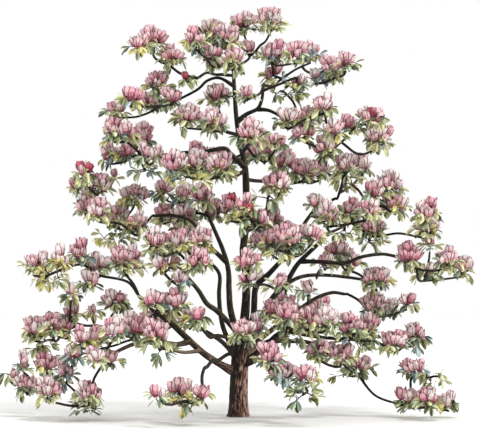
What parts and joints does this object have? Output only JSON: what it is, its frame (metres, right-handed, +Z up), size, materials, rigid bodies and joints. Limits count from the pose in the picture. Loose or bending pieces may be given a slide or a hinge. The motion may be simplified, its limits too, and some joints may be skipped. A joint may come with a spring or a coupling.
{
  "type": "magnolia tree",
  "caption": "A broad saucer magnolia in blossom: a short flared trunk with a leader through the crown, tapering boughs, and open masses of twigs, goblet blossoms and young leaves.",
  "frame": {"origin": "middle of the flat cut under the trunk, at ground level", "axes": "+Z up, +X to the right and -Y to the front, as the tree is seen from its front"},
  "size_m": [6.8638, 4.7309, 6.0294],
  "materials": {
    "bark": "rough dark grey-brown bark",
    "blossom_and_leaf": "matte pink blossom with yellow-green young leaves on dark twigs"
  },
  "bodies": {
    "root": {"trunk": "bark", "bough_low_left": "bark", "bough_low_left_outer": "bark", "bough_left_shelf": "bark", "bough_left_front": "bark", "bough_left_heart": "bark", "bough_back_left": "bark", "bough_left_upright": "bark", "bough_left_crossing": "bark", "bough_upper_left": "bark", "bough_top_left": "bark", "bough_top_right": "bark", "bough_upper_right": "bark", "bough_right_upright": "bark", "bough_right_rising": "bark", "bough_right_middle": "bark", "bough_right_long": "bark", "bough_right_far": "bark", "bough_right_arch": "bark", "bough_low_right": "bark", "bough_low_right_outer": "bark", "bough_back_low_left": "bark", "bough_back_low_right": "bark", "mass_left_far": "blossom_and_leaf", "mass_low_left": "blossom_and_leaf", "mass_left_shelf": "blossom_and_leaf", "mass_left_front": "blossom_and_leaf", "mass_hanging_left": "blossom_and_leaf", "mass_inner_left": "blossom_and_leaf", "mass_left_heart": "blossom_and_leaf", "mass_back_left": "blossom_and_leaf", "mass_left_middle": "blossom_and_leaf", "mass_left_outer": "blossom_and_leaf", "mass_upper_left_inner": "blossom_and_leaf", "mass_upper_left": "blossom_and_leaf", "mass_upper_left_front": "blossom_and_leaf", "mass_top_left": "blossom_and_leaf", "mass_tip_left": "blossom_and_leaf", "mass_crown_top": "blossom_and_leaf", "mass_top_right": "blossom_and_leaf", "mass_upper_right": "blossom_and_leaf", "mass_front_upper": "blossom_and_leaf", "mass_right_upper_inner": "blossom_and_leaf", "mass_front_middle": "blossom_and_leaf", "mass_right_inner": "blossom_and_leaf", "mass_right_shoulder": "blossom_and_leaf", "mass_right_middle": "blossom_and_leaf", "mass_right_far": "blossom_and_leaf", "mass_right_long": "blossom_and_leaf", "mass_right_arch": "blossom_and_leaf", "mass_low_right_inner": "blossom_and_leaf", "mass_low_right_outer": "blossom_and_leaf", "mass_low_right_tip": "blossom_and_leaf", "mass_hanging_right": "blossom_and_leaf", "mass_front_low": "blossom_and_leaf", "mass_front_heart": "blossom_and_leaf", "mass_back_low_left": "blossom_and_leaf", "mass_back_low_right": "blossom_and_leaf", "mass_back_middle": "blossom_and_leaf", "mass_back_upper": "blossom_and_leaf"}
  },
  "joints": []
}
